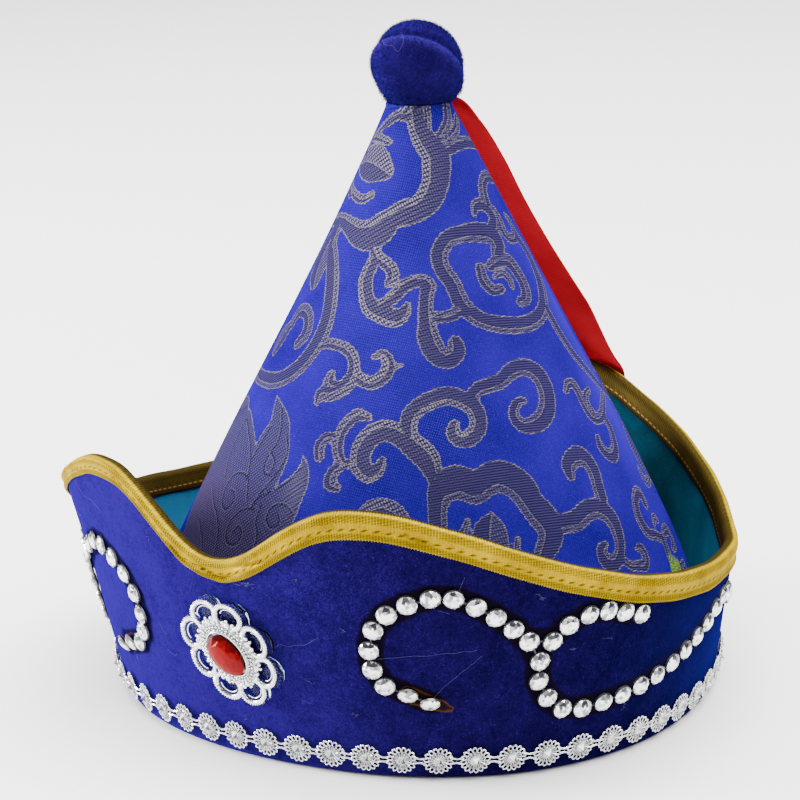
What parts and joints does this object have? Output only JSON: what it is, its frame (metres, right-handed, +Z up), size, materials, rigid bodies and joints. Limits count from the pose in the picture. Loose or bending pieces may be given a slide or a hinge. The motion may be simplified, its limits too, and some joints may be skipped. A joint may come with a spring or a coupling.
{
  "type": "mongolian hat",
  "caption": "Tall brocade cone hat with an upturned velvet brim, gold rim binding, silver rosette trim, rhinestone scrolls, a jewelled flower, a top ball and a back ribbon.",
  "frame": {"origin": "under the middle of the hat, on the surface that it stands on", "axes": "+Z up along the cone, -Y towards the front, where the flower is, and +X towards the wearer's left"},
  "size_m": [0.2128, 0.2102, 0.2035],
  "materials": {
    "brocade": "satin brocade with grey-violet cloud scrolls",
    "velvet": "short pile velvet, royal blue",
    "lining": "smooth satin, teal",
    "binding": "ribbed gold tape",
    "silver": "bright silver",
    "rhinestone": "faceted, silver backed",
    "clear_plastic": "clear",
    "red_stone": "faceted, glossy",
    "ribbon": "finely ribbed ribbon"
  },
  "bodies": {
    "root": {"crown": "brocade", "brim_velvet": "velvet", "brim_lining": "lining", "brim_binding": "binding", "rosette_trim": "silver", "scroll_left": "rhinestone", "scroll_right": "rhinestone", "flower": "silver", "clear_base": "clear_plastic", "red_stone": "red_stone", "top_ball": "velvet", "ribbon": "ribbon"}
  },
  "joints": []
}
